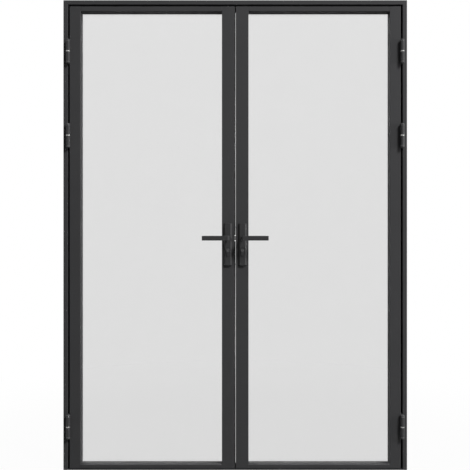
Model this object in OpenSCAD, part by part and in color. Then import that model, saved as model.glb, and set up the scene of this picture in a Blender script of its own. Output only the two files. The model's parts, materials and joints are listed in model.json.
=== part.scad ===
// Double glass door in a steel frame: two glazed leaves on lift-off hinges, with lever lock sets.
// The front faces -Y, the floor is z = 0, and the origin is the middle of the sill.
// Leaf pieces are drawn for the right-hand leaf (+X) and mirrored for the left-hand one.

/* [Frame] */
// Overall width of the frame
frame_w = 1536; // [1300:1:2000]
// Overall height of the frame
frame_h = 2100; // [1950:1:2600]
// Depth of the frame from front to back
frame_depth = 70; // [66:1:110]
// Width of the frame seen from the front
frame_face = 19.5; // [18:0.5:60]
// Wall of the hollow steel sections
section_wall = 2; // [1.5:0.1:2.4]
// How far the stop reaches in past the frame's front face
stop_w = 13; // [11:1:25]
// Thickness of the threshold plate
sill_plate = 4; // [2:0.5:6]
// Height of the stop along the back of the threshold
sill_stop = 9; // [7:0.5:16]
// Diameter of the holes for the wall anchors
anchor_d = 10; // [6:0.5:12]

/* [Leaves] */
// Gap between a leaf and the frame
leaf_gap = 8.5; // [6:0.5:10]
// Gap between the two leaves
meeting_gap = 5; // [4.5:0.5:8]
// Gap between a leaf and the threshold plate
floor_gap = 3; // [2:0.5:8]
// Thickness of a leaf
leaf_t = 50; // [48:1:60]
// Width of the stile that carries the hinges
hinge_stile_w = 49; // [40:1:90]
// Width of the stile that carries the lock
meeting_stile_w = 57; // [55:1:100]
// Width of the top rail
top_rail_w = 21.5; // [18:0.5:120]
// Width of the bottom rail
bottom_rail_w = 18; // [17.5:0.5:120]
// Gap between the back of a leaf and the stop
stop_gap = 2; // [1.5:0.5:5]

/* [Glazing] */
// Thickness of the glass
glass_t = 8; // [6:1:10]
// Width of the rebate that the glass sits in
rebate_w = 12; // [10:0.5:13]
// Space between the edge of the glass and the rebate
glass_edge_gap = 4; // [3:0.5:6]
// Distance from the front of a leaf to the glass
glass_setback = 28; // [24:1:30]
// Thickness of the gaskets in front of and behind the glass
gasket_t = 2; // [1.5:0.5:3]

/* [Hinges] */
// Diameter of the hinge barrels
barrel_d = 18; // [15:1:24]
// Length of a hinge over both barrels
hinge_l = 108; // [80:1:130]
// Height of the bottom hinge above the floor
bottom_hinge_z = 196; // [120:1:400]
// Distance of the middle hinge below the top of the frame
middle_hinge_drop = 606; // [450:1:900]
// Distance of the top hinge below the top of the frame
top_hinge_drop = 231; // [150:1:300]
// Diameter of the hinge pins
pin_d = 10; // [8:0.5:11]
// Thickness of the bearing washer between the barrels
washer_t = 4; // [1.5:0.1:5]
// Depth of the hinge wings in the gap
wing_w = 32; // [20:1:38]

/* [Levers and plates] */
// Height of the levers above the floor
lever_z = 1036.5; // [950:0.5:1150]
// Length of a lever from its axis to its tip
lever_l = 114; // [95:0.5:150]
// Height of the lever's bar
lever_h = 20.5; // [15:0.5:24]
// Thickness of the lever's bar
lever_t = 10; // [8:1:14]
// Clear space between a plate and the lever's bar
lever_reach = 40; // [30:1:60]
// Diameter of the lever's neck
neck_d = 14; // [14:0.5:22]
// Width of a handle plate
plate_w = 37.5; // [34:0.5:44]
// Thickness of a handle plate
plate_t = 9; // [6:0.5:12]
// Height of a handle plate above the lever's axis
plate_up = 67; // [45:1:90]
// Depth of a handle plate below the lever's axis
plate_down = 122; // [105:1:160]
// Side of the square spindle
spindle_side = 8; // [7:0.5:9]

/* [Lock] */
// Distance of the key cylinder below the lever's axis
cylinder_drop = 54; // [50:1:75]
// Distance of the spindle and the key from the meeting edge of a leaf
backset = 30; // [28:0.5:32]
// How far the latch bolt stands out of the leaf
latch_throw = 12; // [9:0.5:14]
// How far the dead bolt comes out
dead_throw = 20; // [12:0.5:20]
// How far the top and bottom bolts are drawn back
rod_throw = 20; // [18:0.5:24]
// Diameter of the top and bottom bolts
rod_d = 10; // [8:0.5:12]

/* [Hidden] */
// Overrun of every cut
cut = 1;
$fn = 48;

// Corners of the rolled sections are eased by this much
edge_ease = 1;
// Thickness of the caps that close the ends of the stiles
end_cap = 3;
// Running clearance of a pin or neck in its bore, and of plates in their cut-outs
run_fit = 0.06;
seat_fit = 0.2;

half_w = frame_w / 2;
front_y = -frame_depth / 2;
back_y = frame_depth / 2;
leaf_back_y = front_y + leaf_t;
stop_y = leaf_back_y + stop_gap;
face_x = half_w - frame_face;
face_z = frame_h - frame_face;

leaf_x0 = meeting_gap / 2;
leaf_x1 = face_x - leaf_gap;
leaf_z0 = sill_plate + floor_gap;
leaf_z1 = face_z - leaf_gap;

// The lip in front of the glass, and the planes of the glass and the beads
lip_back_y = front_y + glass_setback - gasket_t;
glass_y = front_y + glass_setback;
bead_y = glass_y + glass_t + gasket_t;
bead_t = leaf_back_y - bead_y;
bead_wall = 1.5;

// Daylight opening between the lips, and the rebate behind them
open_x0 = leaf_x0 + meeting_stile_w;
open_x1 = leaf_x1 - hinge_stile_w;
open_z0 = leaf_z0 + bottom_rail_w;
open_z1 = leaf_z1 - top_rail_w;
rebate_x0 = open_x0 - rebate_w;
rebate_x1 = open_x1 + rebate_w;
rebate_z0 = open_z0 - rebate_w;
rebate_z1 = open_z1 + rebate_w;
gasket_inset = 1;
gasket_w = rebate_w - glass_edge_gap - gasket_inset;
block_l = 100;
block_inset_share = 0.25;

seal_edge = 1;
seal_t = stop_gap - seat_fit;
seal_w = stop_w - 2 * seal_edge;

// Brush along the meeting edge of the left leaf: it leaves a fine slit, and is left out at the latch
brush_slit = 1;
brush_reach = meeting_gap - brush_slit;
brush_t = 5;
brush_inset = 6;
brush_clear = 8;

// Hinges: the axis stands in front of the gap, and both wings lie in the gap
hinge_x = leaf_x1 + leaf_gap / 2;
barrel_stand = 0.5;
hinge_y = front_y - barrel_d / 2 - barrel_stand;
hinge_zs = [bottom_hinge_z, frame_h - middle_hinge_drop, frame_h - top_hinge_drop];
wing_play = 1;
wing_t = (leaf_gap - wing_play) / 2;
wing_front_y = front_y + seat_fit;
barrel_l = (hinge_l - washer_t) / 2 - run_fit;
barrel_ease = 3;
cap_l = 8;
groove_w = 1.5;
groove_depth = 1;
pin_share = 0.8;
pin_reach = barrel_l * pin_share;

// Anchor holes in the jambs and the head
anchor_y = (front_y + stop_y) / 2;
low_anchor_z = 420;
high_anchor_drop = 420;
head_anchor_x = 380;

// Lock set
lock_y = front_y + leaf_t / 2;
lever_x = leaf_x0 + backset;
cylinder_z = lever_z - cylinder_drop;
spindle_hole_d = spindle_side * 2;
case_t = 15;
case_wall = 1.5;
case_up = 45;
case_down = 60;
case_z0 = cylinder_z - case_down;
case_z1 = lever_z + case_up;
case_x0 = leaf_x0 + section_wall;
case_x1 = rebate_x0 - section_wall - seat_fit;
forend_w = 24;
forend_over = 15;
forend_z0 = case_z0 - forend_over;
forend_z1 = case_z1 + forend_over;
bolt_t = 10;
latch_h = 20;
dead_h = 28;
bolt_fit = 0.5;
spindle_room = spindle_hole_d / 2 + bolt_fit;
latch_tail_x = lever_x - spindle_room - latch_throw;
// The left case stands back behind the strike, clear of the thrown dead bolt
strike_room = dead_throw - meeting_gap + bolt_fit;
left_case_x0 = leaf_x0 + strike_room;
rod_tail = 6;
keep_d = rod_d + 4 * bolt_fit;
rod_top_z = leaf_z1 + rod_throw - bolt_fit;
rod_low_z = bolt_fit;

// Profile of the key cylinder
key_barrel_r = 8.5;
key_slot_w = 10;
key_h = 33;
key_plug_r = 6.5;
key_proud = 5;
keyway_w = 2;
keyway_h = 8;
keyway_l = 28;

// Handle plate and lever forms
plate_z0 = lever_z - plate_down;
plate_z1 = lever_z + plate_up;
plate_crown = 3;
plate_slope = 7;
plate_back_gap = 0.5;
lever_bend_r = 12;
lever_crook_r = 5;
elbow_rim = 0.7;
lever_ease = 1.5;
socket_l = 26;

steel = "#3b3b3b";
black = "#242424";
bright = "#b9b9b6";
pane = "#dcdcdc";
rubber = "#1d1d1d";

// Each corner of an outline is cut off by c
function unit(v) = v / norm(v);
function eased(pts, c) = [
    for (i = [0 : len(pts) - 1])
        let (p = pts[i], last = pts[(i + len(pts) - 1) % len(pts)], next = pts[(i + 1) % len(pts)])
            each [p + c * unit(last - p), p + c * unit(next - p)]
];

// Points of an arc about a centre
function arc(c, r, a0, a1, steps = 8) = [
    for (i = [0 : steps]) let (a = a0 + (a1 - a0) * i / steps) c + r * [cos(a), sin(a)]
];

// Stepped outline: from a to b in front of the step, and from a to c behind it
function step_outline(a, b, c, y0, y1, y2) = [[a, y0], [b, y0], [b, y1], [c, y1], [c, y2], [a, y2]];
function step_inside(a, b, c, y0, y1, y2, t) =
    let (d = sign(b - a), k = sign(abs(c - a) - abs(b - a)))
        step_outline(a + d * t, b - d * t, c - d * t, y0 + t, y1 + k * t, y2 - t);

// Solid and hollow of a stepped steel section
module section_outline(a, b, c, y1, y2) {
    polygon(eased(step_outline(a, b, c, front_y, y1, y2), edge_ease));
}
module section_hollow(a, b, c, y1, y2) {
    polygon(step_inside(a, b, c, front_y, y1, y2, section_wall));
}

// Upright from z0 to z1, and a bar from x0 to x1 whose outline is drawn in height and depth
module upright(z0, z1) {
    translate([0, 0, z0]) linear_extrude(z1 - z0) children();
}
module crossbar(x0, x1) {
    translate([x1, 0, 0]) rotate([0, -90, 0]) linear_extrude(x1 - x0) children();
}
// Outline drawn in width and height, carried from y0 to y1
module through(y0, y1) {
    translate([0, y1, 0]) rotate([90, 0, 0]) linear_extrude(y1 - y0) children();
}
module box(p, q) {
    translate(p) cube(q - p);
}
module rod_y(x, z, r, y0, y1) {
    translate([x, y1, z]) rotate([90, 0, 0]) cylinder(r = r, h = y1 - y0);
}
module on_left() {
    mirror([1, 0, 0]) children();
}

// Frame

module jamb() {
    reach = frame_face + stop_w;
    difference() {
        intersection() {
            difference() {
                upright(0, frame_h) section_outline(half_w, face_x, face_x - stop_w, stop_y, back_y);
                upright(section_wall, frame_h - section_wall)
                    section_hollow(half_w, face_x, face_x - stop_w, stop_y, back_y);
            }
            through(front_y - cut, back_y + cut)
                polygon([[half_w, 0], [half_w, frame_h], [half_w - reach, frame_h - reach],
                    [half_w - reach, 0]]);
        }
        for (z = [low_anchor_z, frame_h - high_anchor_drop])
            translate([face_x - cut, anchor_y, z]) rotate([0, 90, 0])
                cylinder(d = anchor_d, h = frame_face + 2 * cut);
    }
}
module left_jamb() { color(steel) on_left() jamb(); }
module right_jamb() { color(steel) jamb(); }

module head() {
    reach = frame_face + stop_w;
    color(steel) difference() {
        intersection() {
            difference() {
                crossbar(-half_w, half_w)
                    section_outline(frame_h, face_z, face_z - stop_w, stop_y, back_y);
                crossbar(-half_w + section_wall, half_w - section_wall)
                    section_hollow(frame_h, face_z, face_z - stop_w, stop_y, back_y);
            }
            through(front_y - cut, back_y + cut)
                polygon([[-half_w, frame_h], [half_w, frame_h], [half_w - reach, frame_h - reach],
                    [reach - half_w, frame_h - reach]]);
        }
        for (x = [-head_anchor_x, head_anchor_x])
            translate([x, anchor_y, face_z - cut]) cylinder(d = anchor_d, h = frame_face + 2 * cut);
        // Keep of the top bolt
        translate([-lever_x, lock_y, face_z - cut]) cylinder(d = keep_d, h = section_wall + 2 * cut);
    }
}

module threshold() {
    color(steel) difference() {
        crossbar(-face_x, face_x)
            polygon(eased([[0, front_y], [0, back_y], [sill_stop, back_y], [sill_stop, stop_y],
                [sill_plate, stop_y], [sill_plate, front_y]], edge_ease));
        // Ends notched round the stops of the jambs
        for (k = [-1, 1]) scale([k, 1, 1])
            box([face_x - stop_w, stop_y, -cut], [face_x + cut, back_y + cut, sill_stop + cut]);
        // Keep of the bottom bolt
        translate([-lever_x, lock_y, -cut]) cylinder(d = keep_d, h = sill_plate + 2 * cut);
    }
}

// Rubber strips on the stops
module frame_seal() {
    edge_x = face_x - stop_w + seal_edge;
    edge_z = face_z - stop_w + seal_edge;
    color(rubber) {
        for (k = [-1, 1]) scale([k, 1, 1])
            box([edge_x, stop_y - seal_t, sill_stop], [edge_x + seal_w, stop_y, edge_z + seal_w]);
        box([-edge_x, stop_y - seal_t, edge_z], [edge_x, stop_y, edge_z + seal_w]);
    }
}

// Hinges

// Barrel with a blind bore: open end at z = 0, grooved and eased closed end above
module barrel(bore_r) {
    r = barrel_d / 2;
    cap_z = barrel_l - cap_l;
    rotate_extrude()
        polygon([[bore_r, 0], [r, 0], [r, cap_z - groove_w], [r - groove_depth, cap_z - groove_w],
            [r - groove_depth, cap_z], [r, cap_z], [r, barrel_l - barrel_ease], [r - barrel_ease, barrel_l],
            [0, barrel_l], [0, pin_reach], [bore_r, pin_reach]]);
}

// Wing over the hinge's whole length, with a neck to its own barrel
module wing(x0, z, up) {
    half_l = hinge_l / 2;
    gap = washer_t / 2 + run_fit;
    bore_r = pin_d / 2 + run_fit;
    neck_z0 = up ? z + gap : z - half_l;
    neck_z1 = up ? z + half_l : z - gap;
    box([x0, wing_front_y, z - half_l], [x0 + wing_t, wing_front_y + wing_w, z + half_l]);
    difference() {
        box([x0, hinge_y, neck_z0], [x0 + wing_t, wing_front_y, neck_z1]);
        translate([hinge_x, hinge_y, z - half_l]) cylinder(r = bore_r, h = hinge_l);
    }
}

module frame_barrels() {
    color(black) for (z = hinge_zs) {
        translate([hinge_x, hinge_y, z - washer_t / 2 - run_fit]) mirror([0, 0, 1])
            barrel(pin_d / 2 + run_fit);
        wing(face_x - wing_t, z, false);
    }
}
module leaf_barrels() {
    color(black) for (z = hinge_zs) {
        translate([hinge_x, hinge_y, z + washer_t / 2 + run_fit]) barrel(pin_d / 2 + run_fit);
        wing(leaf_x1, z, true);
    }
}
module left_hinge_frame_barrels() { on_left() frame_barrels(); }
module right_hinge_frame_barrels() { frame_barrels(); }
module left_hinge_leaf_barrels() { on_left() leaf_barrels(); }
module right_hinge_leaf_barrels() { leaf_barrels(); }

module hinge_pins() {
    pin_l = hinge_l - 2 * (barrel_l - pin_reach) - 2 * run_fit;
    color(bright) for (k = [-1, 1]) for (z = hinge_zs)
        translate([k * hinge_x, hinge_y, z - pin_l / 2]) cylinder(d = pin_d, h = pin_l);
}
module hinge_washers() {
    color(bright) for (k = [-1, 1]) for (z = hinge_zs)
        translate([k * hinge_x, hinge_y, z - washer_t / 2]) difference() {
            cylinder(d = barrel_d, h = washer_t);
            translate([0, 0, -cut]) cylinder(r = pin_d / 2 + run_fit, h = washer_t + 2 * cut);
        }
}

// Leaves

module stile(a, b, c) {
    difference() {
        upright(leaf_z0, leaf_z1) section_outline(a, b, c, lip_back_y, leaf_back_y);
        upright(leaf_z0 + end_cap, leaf_z1 - end_cap) section_hollow(a, b, c, lip_back_y, leaf_back_y);
    }
}
module hinge_stile() { color(steel) stile(leaf_x1, open_x1, rebate_x1); }
module left_hinge_stile() { on_left() hinge_stile(); }
module right_hinge_stile() { hinge_stile(); }

// Outline of the key cylinder, grown all round, about the centre of its plug
module cylinder_outline(grow) {
    low = key_h - key_barrel_r - key_slot_w / 2;
    circle(r = key_barrel_r + grow);
    translate([-key_slot_w / 2 - grow, -low]) square([key_slot_w + 2 * grow, low]);
    translate([0, -low]) circle(r = key_slot_w / 2 + grow);
}

// Holes that the spindle and the key cylinder pass through
module lock_holes(y0, y1) {
    rod_y(lever_x, lever_z, spindle_hole_d / 2, y0, y1);
    through(y0, y1) translate([lever_x, cylinder_z]) cylinder_outline(seat_fit);
}

module meeting_stile() {
    difference() {
        stile(leaf_x0, open_x0, rebate_x0);
        box([leaf_x0 - cut, lock_y - forend_w / 2, forend_z0],
            [leaf_x0 + section_wall + cut, lock_y + forend_w / 2, forend_z1]);
        lock_holes(front_y - cut, leaf_back_y + cut);
    }
}
module left_meeting_stile() {
    color(steel) difference() {
        on_left() meeting_stile();
        for (z = [leaf_z0 - cut, leaf_z1 - end_cap - cut])
            translate([-lever_x, lock_y, z]) cylinder(d = rod_d + 2 * bolt_fit, h = end_cap + 2 * cut);
    }
}
module right_meeting_stile() { color(steel) meeting_stile(); }

// Rail between the stiles, its ends cut to fit over their lips
module rail(a, b, c) {
    color(steel) difference() {
        crossbar(rebate_x0, rebate_x1) section_outline(a, b, c, lip_back_y, leaf_back_y);
        crossbar(rebate_x0 + section_wall, rebate_x1 - section_wall)
            section_hollow(a, b, c, lip_back_y, leaf_back_y);
        for (x = [rebate_x0 - cut, open_x1])
            box([x, front_y - cut, min(a, b) - cut], [x + rebate_w + cut, lip_back_y, max(a, b) + cut]);
    }
}
module top_rail() { rail(leaf_z1, open_z1, rebate_z1); }
module bottom_rail() { rail(leaf_z0, open_z0, rebate_z0); }
module left_top_rail() { on_left() top_rail(); }
module right_top_rail() { top_rail(); }
module left_bottom_rail() { on_left() bottom_rail(); }
module right_bottom_rail() { bottom_rail(); }

// Glazing

module glass() {
    color(pane) box([rebate_x0 + glass_edge_gap, glass_y, rebate_z0 + glass_edge_gap],
        [rebate_x1 - glass_edge_gap, glass_y + glass_t, rebate_z1 - glass_edge_gap]);
}
module left_glass() { on_left() glass(); }
module right_glass() { glass(); }

// Rubber ring between the glass and the steel, flush with the opening's edge
module gasket(y0) {
    color(rubber) through(y0, y0 + gasket_t) difference() {
        translate([open_x0 - gasket_w, open_z0 - gasket_w])
            square([open_x1 - open_x0 + 2 * gasket_w, open_z1 - open_z0 + 2 * gasket_w]);
        translate([open_x0, open_z0]) square([open_x1 - open_x0, open_z1 - open_z0]);
    }
}
module left_front_gasket() { on_left() gasket(lip_back_y); }
module right_front_gasket() { gasket(lip_back_y); }
module left_rear_gasket() { on_left() gasket(glass_y + glass_t); }
module right_rear_gasket() { gasket(glass_y + glass_t); }

// Hollow bead, from the rebate's wall at a to the opening's edge at b
module bead_outline(a, b) {
    d = sign(b - a);
    slope_y = leaf_back_y - bead_t / 2;
    difference() {
        polygon([[a, bead_y], [b, bead_y], [b, slope_y], [b - d * bead_t / 2, leaf_back_y],
            [a, leaf_back_y]]);
        polygon([[a + d * bead_wall, bead_y + bead_wall], [b - d * bead_wall, bead_y + bead_wall],
            [b - d * bead_wall, slope_y], [b - d * bead_t / 2, leaf_back_y - bead_wall],
            [a + d * bead_wall, leaf_back_y - bead_wall]]);
    }
}
// Beads are mitred where they meet
module upright_bead(a, b) {
    color(steel) intersection() {
        upright(rebate_z0, rebate_z1) bead_outline(a, b);
        through(bead_y - cut, leaf_back_y + cut)
            polygon([[a, rebate_z0], [b, open_z0], [b, open_z1], [a, rebate_z1]]);
    }
}
module cross_bead(a, b) {
    color(steel) intersection() {
        crossbar(rebate_x0, rebate_x1) bead_outline(a, b);
        through(bead_y - cut, leaf_back_y + cut)
            polygon([[rebate_x0, a], [open_x0, b], [open_x1, b], [rebate_x1, a]]);
    }
}
module left_hinge_bead() { on_left() upright_bead(rebate_x1, open_x1); }
module right_hinge_bead() { upright_bead(rebate_x1, open_x1); }
module left_meeting_bead() { on_left() upright_bead(rebate_x0, open_x0); }
module right_meeting_bead() { upright_bead(rebate_x0, open_x0); }
module left_top_bead() { on_left() cross_bead(rebate_z1, open_z1); }
module right_top_bead() { cross_bead(rebate_z1, open_z1); }
module left_bottom_bead() { on_left() cross_bead(rebate_z0, open_z0); }
module right_bottom_bead() { cross_bead(rebate_z0, open_z0); }

// Plastic blocks that carry the glass on the bottom rail
module setting_blocks() {
    inset = (open_x1 - open_x0) * block_inset_share;
    color(rubber) for (x = [open_x0 + inset, open_x1 - inset])
        box([x - block_l / 2, glass_y, rebate_z0],
            [x + block_l / 2, glass_y + glass_t, rebate_z0 + glass_edge_gap]);
}
module left_setting_blocks() { on_left() setting_blocks(); }
module right_setting_blocks() { setting_blocks(); }

// Brush seal on the left leaf's edge, near its front
module left_meeting_brush() {
    y0 = front_y + brush_inset;
    half = latch_h / 2 + brush_clear;
    color(rubber) for (z = [[leaf_z0, lever_z - half], [lever_z + half, leaf_z1]])
        box([-leaf_x0, y0, z[0]], [brush_reach - leaf_x0, y0 + brush_t, z[1]]);
}

// Lock

module forend_plate() {
    half = forend_w / 2 - seat_fit;
    box([leaf_x0, lock_y - half, forend_z0 + seat_fit],
        [leaf_x0 + section_wall, lock_y + half, forend_z1 - seat_fit]);
}
// Slots that a bolt passes through, centred on its height
module bolt_slot(z, h, x0, x1) {
    half_t = bolt_t / 2 + bolt_fit;
    half_h = h / 2 + bolt_fit;
    box([x0, lock_y - half_t, z - half_h], [x1, lock_y + half_t, z + half_h]);
}
module bolt_slots(x0, x1) {
    bolt_slot(lever_z, latch_h, x0, x1);
    bolt_slot(cylinder_z, dead_h, x0, x1);
}
module right_forend() {
    color(bright) difference() {
        forend_plate();
        bolt_slots(leaf_x0 - cut, leaf_x0 + section_wall + cut);
    }
}
module left_strike_plate() {
    color(bright) on_left() difference() {
        forend_plate();
        bolt_slots(leaf_x0 - cut, leaf_x0 + section_wall + cut);
    }
}

// Sheet steel case, open inside, with holes for the spindle and the cylinder
module case_shell(x0) {
    half = case_t / 2;
    difference() {
        box([x0, lock_y - half, case_z0], [case_x1, lock_y + half, case_z1]);
        box([x0 + case_wall, lock_y - half + case_wall, case_z0 + case_wall],
            [case_x1 - case_wall, lock_y + half - case_wall, case_z1 - case_wall]);
        lock_holes(lock_y - half - cut, lock_y + half + cut);
    }
}
module right_lock_case() {
    color(bright) difference() {
        case_shell(case_x0);
        bolt_slots(case_x0 - cut, case_x0 + case_wall + cut);
    }
}
module left_bolt_case() {
    color(bright) difference() {
        on_left() case_shell(left_case_x0);
        for (z = [case_z0 - cut, case_z1 - case_wall - cut])
            translate([-lever_x, lock_y, z]) cylinder(d = rod_d + 2 * bolt_fit, h = case_wall + 2 * cut);
    }
}

// Latch with a bevelled nose, reaching into the strike
module latch_bolt() {
    nose_x = leaf_x0 - latch_throw;
    half = bolt_t / 2;
    color(bright) upright(lever_z - latch_h / 2, lever_z + latch_h / 2)
        polygon([[latch_tail_x, lock_y - half], [latch_tail_x, lock_y + half], [leaf_x0, lock_y + half],
            [nose_x, lock_y - half / 2], [nose_x, lock_y - half]]);
}
module dead_bolt() {
    half = bolt_t / 2;
    tail_x = lever_x - key_barrel_r - bolt_fit;
    color(bright) box([leaf_x0, lock_y - half, cylinder_z - dead_h / 2],
        [tail_x, lock_y + half, cylinder_z + dead_h / 2]);
}

// Bolts of the left leaf, each one rod from the case to the frame
module top_bolt() {
    z0 = case_z1 - rod_tail;
    color(bright) translate([-lever_x, lock_y, z0]) cylinder(d = rod_d, h = rod_top_z - z0);
}
module bottom_bolt() {
    z1 = case_z0 + rod_tail;
    color(bright) translate([-lever_x, lock_y, rod_low_z]) cylinder(d = rod_d, h = z1 - rod_low_z);
}

// Key cylinder through the leaf and both plates, with a plug that turns in it
module key_cylinder() {
    y0 = front_y - plate_t - key_proud;
    y1 = leaf_back_y + plate_t + key_proud;
    color(bright) difference() {
        through(y0, y1) translate([lever_x, cylinder_z]) cylinder_outline(0);
        rod_y(lever_x, cylinder_z, key_plug_r + run_fit, y0 - cut, y1 + cut);
    }
}
module key_plug() {
    y0 = front_y - plate_t - key_proud;
    y1 = leaf_back_y + plate_t + key_proud;
    color(bright) difference() {
        rod_y(lever_x, cylinder_z, key_plug_r, y0, y1);
        for (y = [[y0 - cut, y0 + keyway_l], [y1 - keyway_l, y1 + cut]])
            box([lever_x - keyway_w / 2, y[0], cylinder_z - keyway_h / 2],
                [lever_x + keyway_w / 2, y[1], cylinder_z + keyway_h / 2]);
    }
}
module left_key_cylinder() { on_left() key_cylinder(); }
module right_key_cylinder() { key_cylinder(); }
module left_key_plug() { on_left() key_plug(); }
module right_key_plug() { key_plug(); }

// Levers and plates

// Everything on the back of a leaf is the front's mirror image about the middle of the leaf
module at_back() {
    translate([0, 2 * lock_y, 0]) mirror([0, 1, 0]) children();
}

// Plate with crowned ends and sloping sides
module handle_plate() {
    y0 = front_y - plate_t;
    half = plate_w / 2;
    crown_r = (half * half + plate_crown * plate_crown) / (2 * plate_crown);
    sweep = asin(half / crown_r);
    color(black) difference() {
        intersection() {
            through(y0, front_y) polygon(concat(
                arc([lever_x, plate_z1 - crown_r], crown_r, 90 + sweep, 90 - sweep),
                arc([lever_x, plate_z0 + crown_r], crown_r, 270 + sweep, 270 - sweep)));
            upright(plate_z0, plate_z1)
                polygon([[lever_x - half, front_y], [lever_x - half, y0 + plate_slope],
                    [lever_x - half + plate_slope, y0], [lever_x + half - plate_slope, y0],
                    [lever_x + half, y0 + plate_slope], [lever_x + half, front_y]]);
        }
        rod_y(lever_x, lever_z, neck_d / 2 + run_fit, y0 - cut, front_y + cut);
        through(y0 - cut, front_y + cut) translate([lever_x, cylinder_z]) cylinder_outline(seat_fit);
    }
}
module left_front_plate() { on_left() handle_plate(); }
module right_front_plate() { handle_plate(); }
module left_rear_plate() { on_left() at_back() handle_plate(); }
module right_rear_plate() { at_back() handle_plate(); }

// Lever: a round neck, a bend and a flat bar, with a square socket for the spindle
module lever() {
    neck_r = neck_d / 2;
    inner_y = front_y - plate_t - lever_reach;
    outer_y = inner_y - lever_t;
    elbow_r = neck_r + elbow_rim;
    bend = [lever_x - elbow_r + lever_bend_r, outer_y + lever_bend_r];
    crook = [lever_x + elbow_r + lever_crook_r, inner_y + lever_crook_r];
    color(black) difference() {
        union() {
            rod_y(lever_x, lever_z, neck_r, inner_y, front_y - plate_back_gap);
            upright(lever_z - lever_h / 2, lever_z + lever_h / 2) polygon(concat(
                [[lever_x - elbow_r, inner_y + lever_crook_r]],
                arc(bend, lever_bend_r, 180, 270),
                [[lever_x + lever_l - lever_ease, outer_y], [lever_x + lever_l, outer_y + lever_ease],
                    [lever_x + lever_l, inner_y - lever_ease], [lever_x + lever_l - lever_ease, inner_y]],
                arc(crook, lever_crook_r, 270, 180)));
        }
        box([lever_x - spindle_side / 2, front_y - plate_back_gap - socket_l, lever_z - spindle_side / 2],
            [lever_x + spindle_side / 2, front_y, lever_z + spindle_side / 2]);
    }
}
module left_front_lever() { on_left() lever(); }
module right_front_lever() { lever(); }
module left_rear_lever() { on_left() at_back() lever(); }
module right_rear_lever() { at_back() lever(); }

module spindle() {
    half = spindle_side / 2;
    reach = leaf_t / 2 + plate_back_gap + socket_l;
    color(bright) box([lever_x - half, lock_y - reach, lever_z - half],
        [lever_x + half, lock_y + reach, lever_z + half]);
}
module left_spindle() { on_left() spindle(); }
module right_spindle() { spindle(); }

left_jamb();
right_jamb();
head();
threshold();
frame_seal();
left_hinge_frame_barrels();
right_hinge_frame_barrels();
hinge_pins();
hinge_washers();
left_hinge_leaf_barrels();
left_hinge_stile();
left_meeting_stile();
left_top_rail();
left_bottom_rail();
left_glass();
left_front_gasket();
left_rear_gasket();
left_hinge_bead();
left_meeting_bead();
left_top_bead();
left_bottom_bead();
left_setting_blocks();
left_meeting_brush();
left_strike_plate();
left_bolt_case();
left_key_cylinder();
left_key_plug();
left_front_plate();
left_rear_plate();
left_front_lever();
left_rear_lever();
left_spindle();
top_bolt();
bottom_bolt();
right_hinge_leaf_barrels();
right_hinge_stile();
right_meeting_stile();
right_top_rail();
right_bottom_rail();
right_glass();
right_front_gasket();
right_rear_gasket();
right_hinge_bead();
right_meeting_bead();
right_top_bead();
right_bottom_bead();
right_setting_blocks();
right_forend();
right_lock_case();
right_key_cylinder();
right_key_plug();
right_front_plate();
right_rear_plate();
right_front_lever();
right_rear_lever();
right_spindle();
latch_bolt();
dead_bolt();
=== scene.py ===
import json
import math

import bmesh
import bpy
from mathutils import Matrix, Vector

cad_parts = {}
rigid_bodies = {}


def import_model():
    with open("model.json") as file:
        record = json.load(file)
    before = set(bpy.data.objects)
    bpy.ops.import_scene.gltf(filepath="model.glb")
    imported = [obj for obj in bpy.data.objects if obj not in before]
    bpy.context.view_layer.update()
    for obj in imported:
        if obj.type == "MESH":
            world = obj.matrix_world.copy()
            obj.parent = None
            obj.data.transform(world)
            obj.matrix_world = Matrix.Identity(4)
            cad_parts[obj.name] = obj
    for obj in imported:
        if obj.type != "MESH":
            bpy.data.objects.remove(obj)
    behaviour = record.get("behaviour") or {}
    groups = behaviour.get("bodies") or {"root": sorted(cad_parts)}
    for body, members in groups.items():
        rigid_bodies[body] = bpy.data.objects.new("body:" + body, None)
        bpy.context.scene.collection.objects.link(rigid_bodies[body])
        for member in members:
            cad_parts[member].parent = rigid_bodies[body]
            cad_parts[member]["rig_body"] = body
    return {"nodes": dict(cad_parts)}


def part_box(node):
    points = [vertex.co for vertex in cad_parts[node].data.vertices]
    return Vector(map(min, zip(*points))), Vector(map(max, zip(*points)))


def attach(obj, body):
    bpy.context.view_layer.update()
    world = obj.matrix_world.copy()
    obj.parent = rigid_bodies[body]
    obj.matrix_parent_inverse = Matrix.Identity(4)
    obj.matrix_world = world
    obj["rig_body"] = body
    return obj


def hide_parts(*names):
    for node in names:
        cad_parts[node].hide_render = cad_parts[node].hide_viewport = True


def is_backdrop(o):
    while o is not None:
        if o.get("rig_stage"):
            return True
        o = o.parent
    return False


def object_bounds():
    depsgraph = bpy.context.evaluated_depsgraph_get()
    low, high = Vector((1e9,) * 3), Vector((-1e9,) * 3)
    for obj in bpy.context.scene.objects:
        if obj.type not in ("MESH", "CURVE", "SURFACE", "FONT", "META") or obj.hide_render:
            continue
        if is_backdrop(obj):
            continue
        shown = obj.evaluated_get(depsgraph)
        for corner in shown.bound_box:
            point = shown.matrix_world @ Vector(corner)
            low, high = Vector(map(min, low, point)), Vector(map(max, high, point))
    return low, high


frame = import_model()
cad_low, cad_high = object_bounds()


# Frame: two jambs, a head and a threshold of pressed steel section, mitred and welded at the corners.
# The whole frame is powder coated dark grey in one go. The coat is matt, with a faint orange peel, and
# it is thinner on the rounded edges of the pressing.
MERGE = 1e-6
FLAT = math.radians(0.5)
CORNER = math.radians(32)
ROUND_STEPS = 2
PRESSED_EDGE = 0.0009
# Most of a noise lies between these two values
NOISE_LOW, NOISE_HIGH = 0.3, 0.7
# Sockets of a Mix node that mixes two colours
SHARE, COLOUR_A, COLOUR_B, MIXED = 0, 6, 7, 2


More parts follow.
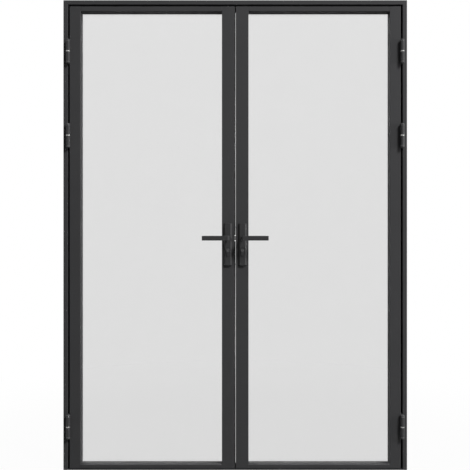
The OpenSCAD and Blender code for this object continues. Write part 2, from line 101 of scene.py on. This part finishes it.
def tone(code):
    """Linear colour of an sRGB hex value."""
    parts = [int(code[i:i + 2], 16) / 255 for i in (1, 3, 5)]
    return [c / 12.92 if c <= 0.04045 else ((c + 0.055) / 1.055) ** 2.4 for c in parts] + [1.0]


def per_metre(size_mm):
    """Scale of a pattern whose features are this many millimetres across."""
    return 1000 / size_mm


def add(tree, kind, feeds, **settings):
    """One node with its settings, and its sockets set to a value or linked to what feeds them."""
    node = tree.nodes.new(kind)
    for name, value in settings.items():
        setattr(node, name, value)
    for name, feed in feeds.items():
        if isinstance(feed, bpy.types.NodeSocket):
            tree.links.new(feed, node.inputs[name])
        else:
            node.inputs[name].default_value = feed
    return node


def bare_material(name):
    """A material with an empty tree."""
    material = bpy.data.materials.new(name)
    material.use_nodes = True
    material.node_tree.nodes.clear()
    return material, material.node_tree


def paint(name, dark, light, edge_wear_and_highlight, grain_mm, rough, gloss):
    """Baked powder coat: cloudy tone, orange peel in the surface, and paler rounded edges where the coat is
    worn thin, which on the hinge barrels are also a painted highlight.
    """
    cloud_mm, scuff_mm = 170, 14
    rough_spread = 0.05
    material, tree = bare_material(name)
    place = add(tree, "ShaderNodeTexCoord", {}).outputs["Object"]
    cloud = add(tree, "ShaderNodeTexNoise", {
        "Vector": place, "Scale": per_metre(cloud_mm), "Detail": 3.0})
    scuff = add(tree, "ShaderNodeTexNoise", {
        "Vector": place, "Scale": per_metre(scuff_mm), "Detail": 4.0})
    grain = add(tree, "ShaderNodeTexNoise", {
        "Vector": place, "Scale": per_metre(grain_mm), "Detail": 2.0})
    edge = add(tree, "ShaderNodeAttribute", {}, attribute_name="edge")
    wear_and_highlight = add(tree, "ShaderNodeMath", {
        0: edge.outputs["Fac"], 1: scuff.outputs["Fac"]}, operation="MULTIPLY")
    coat = add(tree, "ShaderNodeMix", {
        SHARE: cloud.outputs["Fac"], COLOUR_A: tone(dark), COLOUR_B: tone(light)}, data_type="RGBA")
    shade = add(tree, "ShaderNodeMix", {
        SHARE: wear_and_highlight.outputs[0], COLOUR_A: coat.outputs[MIXED], COLOUR_B: tone(edge_wear_and_highlight)}, data_type="RGBA")
    dull = add(tree, "ShaderNodeMapRange", {
        "Value": grain.outputs["Fac"], "From Min": NOISE_LOW, "From Max": NOISE_HIGH,
        "To Min": rough - rough_spread, "To Max": rough + rough_spread})
    peel = add(tree, "ShaderNodeBump", {
        "Height": grain.outputs["Fac"], "Strength": 0.08, "Distance": 0.0002})
    shader = add(tree, "ShaderNodeBsdfPrincipled", {
        "Base Color": shade.outputs[MIXED], "Roughness": dull.outputs["Result"],
        "Normal": peel.outputs["Normal"], "IOR": 1.5, "Specular IOR Level": gloss})
    add(tree, "ShaderNodeOutputMaterial", {"Surface": shader.outputs[0]})
    return material


def eased(node, edge_r, material):
    """A piece in the shape of a solid of the frame, with its hard edges rounded, in place of that solid."""
    source = frame["nodes"][node]
    form = bmesh.new()
    form.from_mesh(source.data)
    bmesh.ops.remove_doubles(form, verts=form.verts, dist=MERGE)
    bmesh.ops.dissolve_limit(form, angle_limit=FLAT, verts=form.verts, edges=form.edges)
    hard = [e for e in form.edges if e.is_manifold and e.calc_face_angle() > CORNER]
    edge_wear_and_highlight = form.loops.layers.float.new("edge")
    rounded = bmesh.ops.bevel(
        form, geom=hard, offset=edge_r, offset_type="OFFSET", segments=ROUND_STEPS, profile=0.5,
        affect="EDGES", clamp_overlap=False)
    for face in rounded["faces"]:
        for loop in face.loops:
            loop[edge_wear_and_highlight] = 1.0
    for face in form.faces:
        face.smooth = True
    mesh = bpy.data.meshes.new(node + " eased")
    form.to_mesh(mesh)
    form.free()
    piece = bpy.data.objects.new(node + "_finished", mesh)
    bpy.context.scene.collection.objects.link(piece)
    piece.data.materials.append(material)
    piece.modifiers.new("flat faces stay flat", "WEIGHTED_NORMAL")
    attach(piece, source["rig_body"])
    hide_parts(node)


# An even dark grey with hardly any shine. Its orange peel is about 2 mm across, and drawn at 5 mm so
# that it still shows at the size of the picture.
frame_coat = paint(
    "powder coated steel, dark grey", dark="#3e3e3f", light="#434344", edge_wear_and_highlight="#505051",
    grain_mm=5, rough=0.55, gloss=0.01)
for member in ("left_jamb", "right_jamb", "head", "threshold"):
    eased(member, PRESSED_EDGE, frame_coat)


# Frame seal: a strip of black rubber on the stops all round, that each leaf closes against.
# It is extruded, with fine drawn lines along it, and pushed on to the stop.
seal_edge = 0.0005


def rubber(name, dark, light, line_mm, dust_and_light=None):
    """Extruded rubber: dull, with faint drawn lines and a bloom, and paler near the floor if given a colour
    for it, as dust and as painted light on the lower gaskets that face up to the lamp.
    """
    bloom_mm = 35
    dust_and_light_low, dust_and_light_high = 0.035, 0.120
    material, tree = bare_material(name)
    place = add(tree, "ShaderNodeTexCoord", {}).outputs["Object"]
    bloom = add(tree, "ShaderNodeTexNoise", {
        "Vector": place, "Scale": per_metre(bloom_mm), "Detail": 4.0})
    drawn = add(tree, "ShaderNodeTexNoise", {
        "Vector": place, "Scale": per_metre(line_mm), "Detail": 1.0})
    shade = add(tree, "ShaderNodeMix", {
        SHARE: bloom.outputs["Fac"], COLOUR_A: tone(dark), COLOUR_B: tone(light)}, data_type="RGBA")
    # Paler towards the floor: dust, and painted light on the lower gasket that faces up to the lamp
    if dust_and_light:
        up = add(tree, "ShaderNodeSeparateXYZ", {"Vector": place})
        dust_and_light_share = add(tree, "ShaderNodeMapRange", {
            "Value": up.outputs["Z"], "From Min": dust_and_light_low, "From Max": dust_and_light_high,
            "To Min": 1.0, "To Max": 0.0})
        shade = add(tree, "ShaderNodeMix", {
            SHARE: dust_and_light_share.outputs["Result"], COLOUR_A: shade.outputs[MIXED], COLOUR_B: tone(dust_and_light)},
            data_type="RGBA")
    dull = add(tree, "ShaderNodeMapRange", {
        "Value": bloom.outputs["Fac"], "To Min": 0.6, "To Max": 0.8})
    skin = add(tree, "ShaderNodeBump", {
        "Height": drawn.outputs["Fac"], "Strength": 0.25, "Distance": 0.0002})
    shader = add(tree, "ShaderNodeBsdfPrincipled", {
        "Base Color": shade.outputs[MIXED], "Roughness": dull.outputs["Result"],
        "Normal": skin.outputs["Normal"], "IOR": 1.52, "Specular IOR Level": 0.35})
    add(tree, "ShaderNodeOutputMaterial", {"Surface": shader.outputs[0]})
    return material


# Nearly black and dull, so that it is lost in the shade of the gap. The drawn lines are about 0.3 mm
# apart, and drawn at 1.5 mm so that they show.
seal_rubber = rubber("extruded rubber, black", dark="#121212", light="#1d1d1d", line_mm=1.5)
eased("frame_seal", seal_edge, seal_rubber)


# Hinges: three on each side, each a pair of rolled steel barrels on a pin, with a plain bearing washer
# between them. The barrels are coated dark grey, and the pins and washers are bright zinc plate.
barrel_edge, pin_edge, washer_edge = 0.0006, 0.0010, 0.0003


def plated(name, dark, light, rough, grain_mm):
    """Bare or plated metal: fine brushed streaks that make its gloss uneven."""
    stain_mm = 22
    rough_spread = 0.06
    streak_scale = (1.0, 1.0, 0.08)
    material, tree = bare_material(name)
    place = add(tree, "ShaderNodeTexCoord", {}).outputs["Object"]
    drawn = add(tree, "ShaderNodeMapping", {"Vector": place, "Scale": streak_scale})
    streak = add(tree, "ShaderNodeTexNoise", {
        "Vector": drawn.outputs[0], "Scale": per_metre(grain_mm), "Detail": 3.0})
    stain = add(tree, "ShaderNodeTexNoise", {
        "Vector": place, "Scale": per_metre(stain_mm), "Detail": 3.0})
    shade = add(tree, "ShaderNodeMix", {
        SHARE: stain.outputs["Fac"], COLOUR_A: tone(dark), COLOUR_B: tone(light)}, data_type="RGBA")
    dull = add(tree, "ShaderNodeMapRange", {
        "Value": streak.outputs["Fac"], "From Min": NOISE_LOW, "From Max": NOISE_HIGH,
        "To Min": rough - rough_spread, "To Max": rough + rough_spread})
    brush = add(tree, "ShaderNodeBump", {
        "Height": streak.outputs["Fac"], "Strength": 0.15, "Distance": 0.0001})
    shader = add(tree, "ShaderNodeBsdfPrincipled", {
        "Base Color": shade.outputs[MIXED], "Roughness": dull.outputs["Result"],
        "Normal": brush.outputs["Normal"], "Metallic": 1.0})
    add(tree, "ShaderNodeOutputMaterial", {"Surface": shader.outputs[0]})
    return material


# A satin coat: a soft streak of light runs along the round barrels, and their rounded edges are painted
# much paler, a painted highlight on the end caps and grooves
barrel_coat = paint(
    "satin powder coated steel, dark grey", dark="#383839", light="#3d3d3e", edge_wear_and_highlight="#868687",
    grain_mm=3, rough=0.42, gloss=0.12)
# A cool, light grey metal with fine streaks. Here and on the other metals they are about 0.1 mm wide,
# and drawn at about 1 mm so that they show.
zinc = plated("zinc plated steel", dark="#9a9a98", light="#b0b0ae", rough=0.38, grain_mm=1.2)
for side in ("left", "right"):
    eased(side + "_hinge_frame_barrels", barrel_edge, barrel_coat)
    eased(side + "_hinge_leaf_barrels", barrel_edge, barrel_coat)
eased("hinge_pins", pin_edge, zinc)
eased("hinge_washers", washer_edge, zinc)


# Leaves: each has two stiles that run from top to bottom and two rails coped between them, all welded
# steel tube. They carry the same dark grey coat as the frame.
for side in ("left", "right"):
    for part in ("hinge_stile", "meeting_stile", "top_rail", "bottom_rail"):
        eased(f"{side}_{part}", PRESSED_EDGE, frame_coat)


# Panes: one sheet of toughened float glass in each leaf, tinted light grey, on two plastic blocks. Its
# faces have the slight roller wave of the toughening oven, and the tint is a little darker towards the
# floor.
glass_edge, block_edge = 0.0008, 0.0004
wave_mm, blotch_mm = 300, 120
roller_stretch = (0.2, 0.2, 1.0)
darkening_at_floor, blotch_share = 0.5, 0.2
clear_tint, low_tint = tone("#e0e0e0"), tone("#d6d6d6")
door_h = cad_high.z

# Clear and a little grey, so that what lies behind it shows slightly darker. Lamps shine through it.
glass, pane_tree = bare_material("toughened float glass, light grey")
pane_place = add(pane_tree, "ShaderNodeTexCoord", {}).outputs["Object"]
roller = add(pane_tree, "ShaderNodeMapping", {"Vector": pane_place, "Scale": roller_stretch})
wave = add(pane_tree, "ShaderNodeTexNoise", {
    "Vector": roller.outputs[0], "Scale": per_metre(wave_mm), "Detail": 0.0})
ripple = add(pane_tree, "ShaderNodeBump", {
    "Height": wave.outputs["Fac"], "Strength": 0.05, "Distance": 0.0005})
pane_up = add(pane_tree, "ShaderNodeSeparateXYZ", {"Vector": pane_place})
low_down = add(pane_tree, "ShaderNodeMapRange", {
    "Value": pane_up.outputs["Z"], "From Min": 0.0, "From Max": door_h,
    "To Min": darkening_at_floor, "To Max": 0.0})
blotch = add(pane_tree, "ShaderNodeTexNoise", {
    "Vector": pane_place, "Scale": per_metre(blotch_mm), "Detail": 4.0})
darkening = add(pane_tree, "ShaderNodeMath", {
    0: blotch.outputs["Fac"], 1: blotch_share, 2: low_down.outputs["Result"]}, operation="MULTIPLY_ADD")
tint = add(pane_tree, "ShaderNodeMix", {
    SHARE: darkening.outputs[0], COLOUR_A: clear_tint, COLOUR_B: low_tint}, data_type="RGBA")
pane_shader = add(pane_tree, "ShaderNodeBsdfPrincipled", {
    "Base Color": tint.outputs[MIXED], "Roughness": 0.0, "IOR": 1.52, "Transmission Weight": 1.0,
    "Normal": ripple.outputs["Normal"]})
let_through = add(pane_tree, "ShaderNodeBsdfTransparent", {"Color": clear_tint})
pane_path = add(pane_tree, "ShaderNodeLightPath", {})
pane_mix = add(pane_tree, "ShaderNodeMixShader", {
    0: pane_path.outputs["Is Shadow Ray"], 1: pane_shader.outputs[0], 2: let_through.outputs[0]})
add(pane_tree, "ShaderNodeOutputMaterial", {"Surface": pane_mix.outputs[0]})

# An even mid grey, with the faint grain of the mould
block_plastic = rubber("moulded plastic, grey", dark="#5a5c5e", light="#66686a", line_mm=4)
for side in ("left", "right"):
    eased(side + "_glass", glass_edge, glass)
    eased(side + "_setting_blocks", block_edge, block_plastic)


# Glazing: a rubber gasket on each face of the glass, and four hollow steel beads mitred at the corners
# that hold it from the rear. The beads are coated with the leaf, and the gaskets are black grey rubber.
gasket_edge, bead_edge = 0.0005, 0.0006
# A softer black grey than the seal, and pale just above the bottom rail, with dust and a painted light
# where the lower gasket faces up to the lamp
gasket_rubber = rubber(
    "extruded rubber, black grey, dusty near the floor", dark="#38383a", light="#424244", line_mm=1.5,
    dust_and_light="#686867")
for side in ("left", "right"):
    for part in ("front_gasket", "rear_gasket"):
        eased(f"{side}_{part}", gasket_edge, gasket_rubber)
    for part in ("hinge_bead", "meeting_bead", "top_bead", "bottom_bead"):
        eased(f"{side}_{part}", bead_edge, frame_coat)


# Brush seal: black nylon bristles crimped into a thin strip on the left leaf's meeting edge, near the
# front. They close most of the gap between the leaves, and are left out where the latch crosses it.
def put_to_use(tree, holder, sizes):
    """The plain mesh that a tree makes on a holder, in place of the holder's own."""
    made = holder.modifiers.new(tree.name, "NODES")
    made.node_group = tree
    for socket in tree.interface.items_tree:
        if socket.name in sizes:
            made[socket.identifier] = sizes[socket.name]
    bpy.context.view_layer.update()
    seen = holder.evaluated_get(bpy.context.evaluated_depsgraph_get())
    mesh = bpy.data.meshes.new_from_object(seen)
    holder.modifiers.clear()
    holder.data = mesh
    for face in mesh.polygons:
        face.use_smooth = True
    mesh.set_sharp_from_angle(angle=CORNER)


def new_tree(name, sizes):
    """An empty tree of Geometry Nodes with named inputs for its sizes."""
    tree = bpy.data.node_groups.new(name, "GeometryNodeTree")
    tree.interface.new_socket("Geometry", in_out="INPUT", socket_type="NodeSocketGeometry")
    for size in sizes:
        tree.interface.new_socket(size, in_out="INPUT", socket_type="NodeSocketFloat")
    tree.interface.new_socket("Geometry", in_out="OUTPUT", socket_type="NodeSocketGeometry")
    return tree, add(tree, "NodeGroupInput", {}).outputs


# Bristles are 0.2 mm thick, drawn at 0.9 mm so that they stay few
bristle_sizes = {"Spacing": 0.0013, "Length": 0.0030, "Width": 0.0009}
bristle_rows = 3
tip_share, root_share = 0.35, 0.5
across, sway, droop = math.radians(90), 0.06, 0.05
strip_t, crimp_r, brush_clear = 0.0009, 0.0003, 0.003

# Black, with little gloss
nylon = rubber("nylon bristles, black", dark="#101010", light="#1c1c1c", line_mm=1)
bristle_tree, bristle_given = new_tree("bristles", bristle_sizes)
line = add(bristle_tree, "GeometryNodeMeshToCurve", {"Mesh": bristle_given["Geometry"]})
roots = add(bristle_tree, "GeometryNodeResampleCurve", {
    "Curve": line.outputs[0], "Length": bristle_given["Spacing"]}, mode="LENGTH")
tip = add(bristle_tree, "ShaderNodeMath", {
    0: bristle_given["Width"], 1: tip_share}, operation="MULTIPLY")
root = add(bristle_tree, "ShaderNodeMath", {
    0: bristle_given["Width"], 1: root_share}, operation="MULTIPLY")
bristle = add(bristle_tree, "GeometryNodeMeshCone", {
    "Vertices": 4, "Radius Top": tip.outputs[0], "Radius Bottom": root.outputs[0],
    "Depth": bristle_given["Length"]})
lean = add(bristle_tree, "FunctionNodeRandomValue", {
    0: (-sway, across - droop, -sway), 1: (sway, across + droop, sway), "Seed": 7},
    data_type="FLOAT_VECTOR")
tuft = add(bristle_tree, "GeometryNodeInstanceOnPoints", {
    "Points": roots.outputs[0], "Instance": bristle.outputs["Mesh"], "Rotation": lean.outputs[0]})
tuft_real = add(bristle_tree, "GeometryNodeRealizeInstances", {"Geometry": tuft.outputs[0]})
tuft_dressed = add(bristle_tree, "GeometryNodeSetMaterial", {
    "Geometry": tuft_real.outputs[0], "Material": nylon})
add(bristle_tree, "NodeGroupOutput", {"Geometry": tuft_dressed.outputs[0]})

latch_low, latch_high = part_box("latch_bolt")
brush_low, brush_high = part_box("left_meeting_brush")
root_x = brush_low.x + strip_t
runs = ((brush_low.z, latch_low.z - brush_clear), (latch_high.z + brush_clear, brush_high.z))
outline = (
    (brush_low.x, brush_low.y), (root_x, brush_low.y),
    (root_x, brush_high.y), (brush_low.x, brush_high.y))
strip_form = bmesh.new()
for z0, z1 in runs:
    corners = [strip_form.verts.new((x, y, z)) for z in (z0, z1) for x, y in outline]
    for quad in ((3, 2, 1, 0), (4, 5, 6, 7), (0, 1, 5, 4), (1, 2, 6, 5), (2, 3, 7, 6), (3, 0, 4, 7)):
        strip_form.faces.new([corners[i] for i in quad])
strip_mesh = bpy.data.meshes.new("brush strip")
strip_form.to_mesh(strip_mesh)
strip_form.free()
strip = bpy.data.objects.new("left_meeting_brush_strip", strip_mesh)
bpy.context.scene.collection.objects.link(strip)
strip_crimp = strip.modifiers.new("crimped edges", "BEVEL")
strip_crimp.width = crimp_r
strip_crimp.segments = ROUND_STEPS
strip.data.materials.append(seal_rubber)
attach(strip, "left_leaf")
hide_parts("left_meeting_brush")

row_pitch = (brush_high.y - brush_low.y) / bristle_rows
root_points, root_lines = [], []
for row in range(bristle_rows):
    y = brush_low.y + (row + 0.5) * row_pitch
    for z0, z1 in runs:
        first = bristle_sizes["Spacing"] * (0.5 + row / bristle_rows)
        root_lines.append((len(root_points), len(root_points) + 1))
        root_points += [(root_x, y, z0 + first), (root_x, y, z1 - first)]
root_mesh = bpy.data.meshes.new("bristle roots")
root_mesh.from_pydata(root_points, root_lines, [])
bristles = bpy.data.objects.new("left_meeting_brush_bristles", root_mesh)
bpy.context.scene.collection.objects.link(bristles)
put_to_use(bristle_tree, bristles, bristle_sizes)
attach(bristles, "left_leaf")


# Locks: the right leaf has a lock with a latch and a dead bolt behind a steel forend, and the left leaf
# a strike plate and a case that works a bolt up and a bolt down. All are let into the meeting stiles.
sheet_edge, bolt_edge = 0.0004, 0.0006
# A soft grey mirror, with fine streaks along the brushing
stainless = plated("brushed stainless steel", dark="#8f9091", light="#a2a3a4", rough=0.34, grain_mm=0.8)
for part in ("left_strike_plate", "left_bolt_case", "right_forend", "right_lock_case"):
    eased(part, sheet_edge, stainless)
# A mid grey metal, smooth enough to mirror the light in front of the gap
phosphated = plated("phosphated steel, grey", dark="#6a6a69", light="#727271", rough=0.12, grain_mm=0.8)
for part in ("latch_bolt", "dead_bolt"):
    eased(part, bolt_edge, phosphated)
for part in ("top_bolt", "bottom_bolt"):
    eased(part, bolt_edge, zinc)


# Key cylinders: a steel cylinder with a round head and a straight foot goes through each leaf, and a
# plug with a keyway turns in it. The cylinder is black nickel plate, and the plug a paler nickel plate,
# its paleness a painted highlight.
cylinder_edge, plug_edge = 0.0004, 0.0003
# A dark metal with a soft shine, and a lighter one for the plug: a painted highlight that shows as a pale
# spot under the lever
black_nickel = plated("black nickel plate", dark="#343435", light="#3e3e3f", rough=0.34, grain_mm=0.8)
highlight_nickel = plated("nickel plate, paler as a painted highlight", dark="#4e4e4f", light="#585859", rough=0.34, grain_mm=0.8)
for side in ("left", "right"):
    eased(side + "_key_cylinder", cylinder_edge, black_nickel)
    eased(side + "_key_plug", plug_edge, highlight_nickel)


# Handles: a long plate and a flat lever on each face of each leaf, on a square spindle. They are cast
# zinc with rounded edges, coated satin black.
plate_edge, lever_edge, spindle_edge = 0.0007, 0.0014, 0.0004
# Black grey, with a soft shine on the rounded edges and the sloping sides of the plates
satin_black = paint(
    "satin coat on cast zinc, black grey", dark="#333334", light="#383839", edge_wear_and_highlight="#4a4a4b",
    grain_mm=3, rough=0.42, gloss=0.12)
for side in ("left", "right"):
    for face in ("front", "rear"):
        eased(f"{side}_{face}_plate", plate_edge, satin_black)
        eased(f"{side}_{face}_lever", lever_edge, satin_black)
    eased(side + "_spindle", spindle_edge, zinc)


# Screws: zinc plated steel screws with raised countersunk heads and hexagon sockets. They hold the
# hinge wings, the forend, the strike, the rear plates and the glazing beads.
screw_sizes = {"Rim share": 0.4, "Socket share": 0.24}
foot_share, head_sides, socket_sides = 0.5, 24, 6
socket_floor, bit_l = 0.2, 2.0
screw_tree, screw_given = new_tree("screw heads", screw_sizes)
head = add(screw_tree, "GeometryNodeMeshCone", {
    "Vertices": head_sides, "Radius Top": screw_given["Rim share"], "Radius Bottom": foot_share,
    "Depth": 1.0})
bit = add(screw_tree, "GeometryNodeMeshCylinder", {
    "Vertices": socket_sides, "Radius": screw_given["Socket share"], "Depth": bit_l})
bit_up = add(screw_tree, "GeometryNodeTransform", {
    "Geometry": bit.outputs["Mesh"], "Translation": (0.0, 0.0, socket_floor + bit_l / 2)})
cut_head = add(screw_tree, "GeometryNodeMeshBoolean", {
    0: head.outputs["Mesh"], 1: bit_up.outputs[0]}, operation="DIFFERENCE", solver="EXACT")
facing = add(screw_tree, "GeometryNodeInputNamedAttribute", {"Name": "facing"}, data_type="FLOAT_VECTOR")
head_size = add(screw_tree, "GeometryNodeInputNamedAttribute", {"Name": "size"}, data_type="FLOAT_VECTOR")
turn = add(screw_tree, "FunctionNodeAlignRotationToVector", {"Vector": facing.outputs[0]}, axis="Z")
set_in = add(screw_tree, "GeometryNodeInstanceOnPoints", {
    "Points": screw_given["Geometry"], "Instance": cut_head.outputs[0], "Rotation": turn.outputs[0],
    "Scale": head_size.outputs[0]})
heads_real = add(screw_tree, "GeometryNodeRealizeInstances", {"Geometry": set_in.outputs[0]})
heads_dressed = add(screw_tree, "GeometryNodeSetMaterial", {
    "Geometry": heads_real.outputs[0], "Material": zinc})
add(screw_tree, "NodeGroupOutput", {"Geometry": heads_dressed.outputs[0]})

# Width and height of a head: in the wings, in the lock's faces, in the rear plates and in the beads
wing_head, face_head = (0.008, 0.0003), (0.008, 0.0006)
plate_head, bead_head = (0.0085, 0.0012), (0.005, 0.0008)
# Distance from the end of the lock's face, of a plate and of a bead, and from a bead's outer edge
face_end_in, plate_end_in, bead_end_in, bead_in = 0.010, 0.020, 0.120, 0.003
bead_screws = {"hinge_bead": 7, "meeting_bead": 7, "top_bead": 3, "bottom_bead": 3}
# Four screws in each wing, in two staggered rows, up or down from the middle of the hinge
front_row, rear_row, near_mid, near_end = -0.026, -0.011, 0.013, 0.038
wing_places = ((front_row, near_end), (rear_row, near_mid), (front_row, -near_mid), (rear_row, -near_end))
wing_play = 0.001
jamb_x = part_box("threshold")[1].x
washer_heights = sorted({round(v.co.z, 3) for v in frame["nodes"]["hinge_washers"].data.vertices})
hinge_heights = [(a + b) / 2 for a, b in zip(washer_heights[::2], washer_heights[1::2])]
screws = {"frame": [], "left_leaf": [], "right_leaf": []}
for side, k in (("left", -1), ("right", 1)):
    leaf = side + "_leaf"
    leaf_x = max(abs(c.x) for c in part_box(side + "_hinge_stile"))
    wing_t = (jamb_x - leaf_x - wing_play) / 2
    for hinge_z in hinge_heights:
        for y, up in wing_places:
            screws[leaf].append(((k * (leaf_x + wing_t), y, hinge_z + up), (k, 0, 0), wing_head))
            screws["frame"].append(((k * (jamb_x - wing_t), y, hinge_z + up), (-k, 0, 0), wing_head))
    low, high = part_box("left_strike_plate" if side == "left" else "right_forend")
    face_x = high.x if side == "left" else low.x
    for z in (low.z + face_end_in, high.z - face_end_in):
        screws[leaf].append(((face_x, (low.y + high.y) / 2, z), (-k, 0, 0), face_head))
    low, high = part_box(side + "_rear_plate")
    for z in (low.z + plate_end_in, high.z - plate_end_in):
        screws[leaf].append((((low.x + high.x) / 2, high.y, z), (0, 1, 0), plate_head))
    for part, count in bead_screws.items():
        low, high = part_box(f"{side}_{part}")
        for i in range(count):
            share = i / (count - 1)
            if part in ("hinge_bead", "meeting_bead"):
                outer = (high.x - bead_in) if (part == "hinge_bead") == (k > 0) else (low.x + bead_in)
                place = (outer, high.y, low.z + bead_end_in + share * (high.z - low.z - 2 * bead_end_in))
            else:
                outer = (high.z - bead_in) if part == "top_bead" else (low.z + bead_in)
                place = (low.x + bead_end_in + share * (high.x - low.x - 2 * bead_end_in), high.y, outer)
            screws[leaf].append((place, (0, 1, 0), bead_head))
for body, heads in screws.items():
    places, ways, sizes = zip(*heads)
    mesh = bpy.data.meshes.new(body + " screw places")
    mesh.from_pydata(places, [], [])
    for name, values in (("facing", ways), ("size", [(w, w, h) for w, h in sizes])):
        layer = mesh.attributes.new(name, "FLOAT_VECTOR", "POINT")
        layer.data.foreach_set("vector", [c for value in values for c in value])
    row = bpy.data.objects.new(body + "_screws", mesh)
    bpy.context.scene.collection.objects.link(row)
    put_to_use(screw_tree, row, screw_sizes)
    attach(row, body)


# Stage: a plain pale floor that fades into white around it, a soft lamp from the right, above and in
# front, a weak one low on the right, and one from behind.
white = (1.0, 1.0, 1.0, 1.0)
floor_half = 8.0
near, far = 0.9, 2.4
white_near, white_far = 0.97, 1.0
sky_light = 0.14


def white_where_seen(tree, shader, strength):
    """The given shader for light, and plain white where the camera, gloss or glass looks at it."""
    path = add(tree, "ShaderNodeLightPath", {})
    seen = add(tree, "ShaderNodeMath", {
        0: path.outputs["Is Camera Ray"], 1: path.outputs["Is Transmission Ray"]}, operation="MAXIMUM")
    seen = add(tree, "ShaderNodeMath", {
        0: seen.outputs[0], 1: path.outputs["Is Glossy Ray"]}, operation="MAXIMUM")
    part = add(tree, "ShaderNodeMath", {0: seen.outputs[0], 1: strength}, operation="MULTIPLY")
    glow = add(tree, "ShaderNodeEmission", {"Color": white, "Strength": 1.0})
    return add(tree, "ShaderNodeMixShader", {
        0: part.outputs[0], 1: shader, 2: glow.outputs[0]}).outputs[0]


floor_mesh = bpy.data.meshes.new("floor")
floor_corners = [(x * floor_half, y * floor_half, 0.0) for x, y in ((-1, -1), (1, -1), (1, 1), (-1, 1))]
floor_mesh.from_pydata(floor_corners, [], [(0, 1, 2, 3)])
floor = bpy.data.objects.new("floor", floor_mesh)
bpy.context.scene.collection.objects.link(floor)
floor_paint, floor_tree = bare_material("pale matt floor")
floor_place = add(floor_tree, "ShaderNodeTexCoord", {}).outputs["Object"]
away = add(floor_tree, "ShaderNodeVectorMath", {0: floor_place}, operation="LENGTH")
fade = add(floor_tree, "ShaderNodeMapRange", {
    "Value": away.outputs["Value"], "From Min": near, "From Max": far,
    "To Min": white_near, "To Max": white_far}, interpolation_type="SMOOTHSTEP")
floor_matt = add(floor_tree, "ShaderNodeBsdfDiffuse", {"Color": tone("#808080")})
add(floor_tree, "ShaderNodeOutputMaterial", {
    "Surface": white_where_seen(floor_tree, floor_matt.outputs[0], fade.outputs["Result"])})
floor.data.materials.append(floor_paint)
floor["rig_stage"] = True

world = bpy.data.worlds.new("studio")
world.use_nodes = True
world.node_tree.nodes.clear()
sky = add(world.node_tree, "ShaderNodeBackground", {"Color": white, "Strength": sky_light})
add(world.node_tree, "ShaderNodeOutputWorld", {
    "Surface": white_where_seen(world.node_tree, sky.outputs[0], 1.0)})
bpy.context.scene.world = world

# Each lamp's place, the side of its square in metres and its power in watts
lamps = {
    "key lamp": ((4.9, -4.8, 7.9), 2.2, 1040),
    "side lamp": ((5.0, -1.0, 1.8), 1.0, 115),
    "rear lamp": ((-4.4, 5.2, 5.6), 2.4, 480),
}
door_middle = Vector((0.0, 0.0, door_h / 2))
for name, (place, lamp_side, power) in lamps.items():
    lamp = bpy.data.lights.new(name, "AREA")
    lamp.size = lamp_side
    lamp.energy = power
    holder = bpy.data.objects.new(name, lamp)
    holder.location = place
    holder.rotation_euler = (door_middle - Vector(place)).to_track_quat("-Z", "Y").to_euler()
    holder.visible_camera = holder.visible_transmission = False
    bpy.context.scene.collection.objects.link(holder)

# Camera: level with the middle of the door and square to its front, so that the door fills the height
picture_w = 2.0997
eye_distance = 2.75
eye_x, eye_z = -0.001, 1.0505
lens = bpy.data.cameras.new("camera")
lens.sensor_width = 36.0
lens.lens = lens.sensor_width * eye_distance / picture_w
camera = bpy.data.objects.new("camera", lens)
camera.location = (eye_x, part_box("left_jamb")[0].y - eye_distance, eye_z)
camera.rotation_euler = (math.radians(90), 0.0, 0.0)
bpy.context.scene.collection.objects.link(camera)
bpy.context.scene.camera = camera
bpy.context.scene.view_settings.view_transform = "Standard"

low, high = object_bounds()
